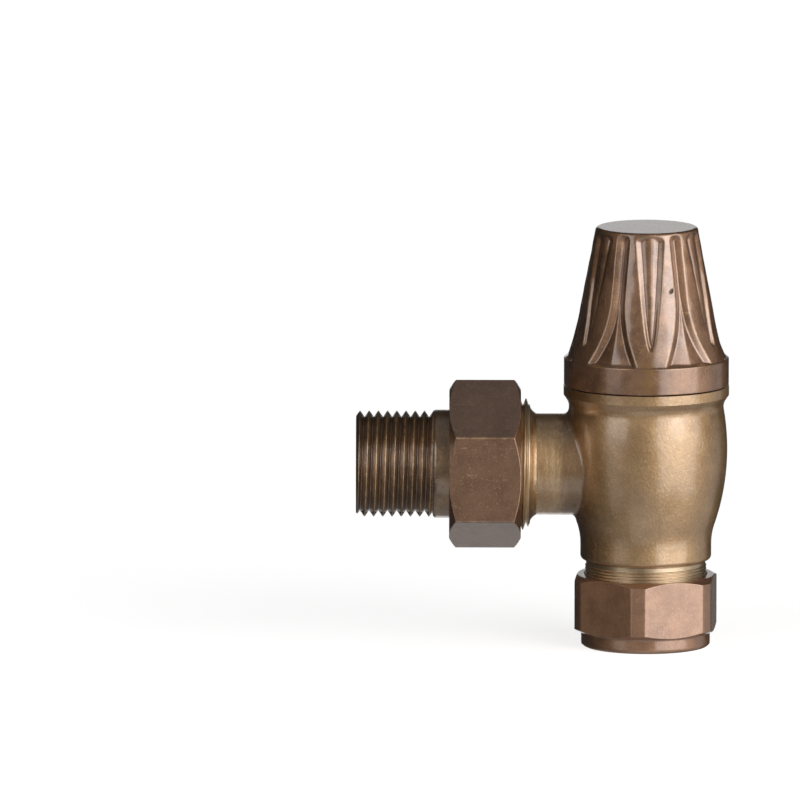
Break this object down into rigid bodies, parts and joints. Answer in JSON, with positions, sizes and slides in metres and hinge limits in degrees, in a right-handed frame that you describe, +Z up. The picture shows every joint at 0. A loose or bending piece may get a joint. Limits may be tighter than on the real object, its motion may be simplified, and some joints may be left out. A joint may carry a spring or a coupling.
{
  "type": "manual radiator valve",
  "caption": "Angle radiator valve with a bell-shaped petal knob on a rising spindle, compression inlet below and a union nut with threaded tail at the side.",
  "frame": {"origin": "middle of the pipe inlet's mouth, on the bottom face of the compression nut", "axes": "+Z up along the spindle, -X along the radiator tail, the picture is taken looking along +Y"},
  "size_m": [0.0734, 0.0326, 0.0831],
  "materials": {
    "body_brass": "aged, satin, olive gold",
    "nut_bronze": "bronzed, satin, worn bright at the edges",
    "tail_bronze": "bronzed, satin",
    "knob_bronze": "bronzed casting, satin",
    "plain_brass": "turned, bare",
    "fibre": "pressed red fibre",
    "packing": "white packing",
    "rubber": "matt black",
    "steel": "plain"
  },
  "bodies": {
    "valve": {"valve_body": "body_brass", "compression_nut": "nut_bronze", "union_nut": "nut_bronze", "radiator_tail": "tail_bronze", "olive": "plain_brass", "bonnet": "plain_brass", "gland_nut": "plain_brass", "gland_washer": "plain_brass", "union_washer": "fibre", "bonnet_washer": "fibre", "gland_packing": "packing", "stem_o_ring": "rubber"},
    "disc": {"jumper": "plain_brass", "seat_washer": "rubber", "washer_nut": "plain_brass"},
    "handwheel": {"knob": "knob_bronze", "knob_grub_screw": "steel", "spindle": "plain_brass", "jumper_clip": "steel"}
  },
  "joints": [
    {"name": "spindle_lift", "type": "slide", "parent": "valve", "child": "disc", "axis": [0, 0, 1], "range_m": [0, 0.00451]},
    {"name": "knob_turn", "type": "hinge", "parent": "disc", "child": "handwheel", "pos_m": [0, 0, 0.06], "axis": [0, 0, 1], "range_deg": [0, 810]}
  ],
  "couplings": [
    {"joint": "spindle_lift", "follows": "knob_turn", "m_per_rad": 0.00031831}
  ]
}
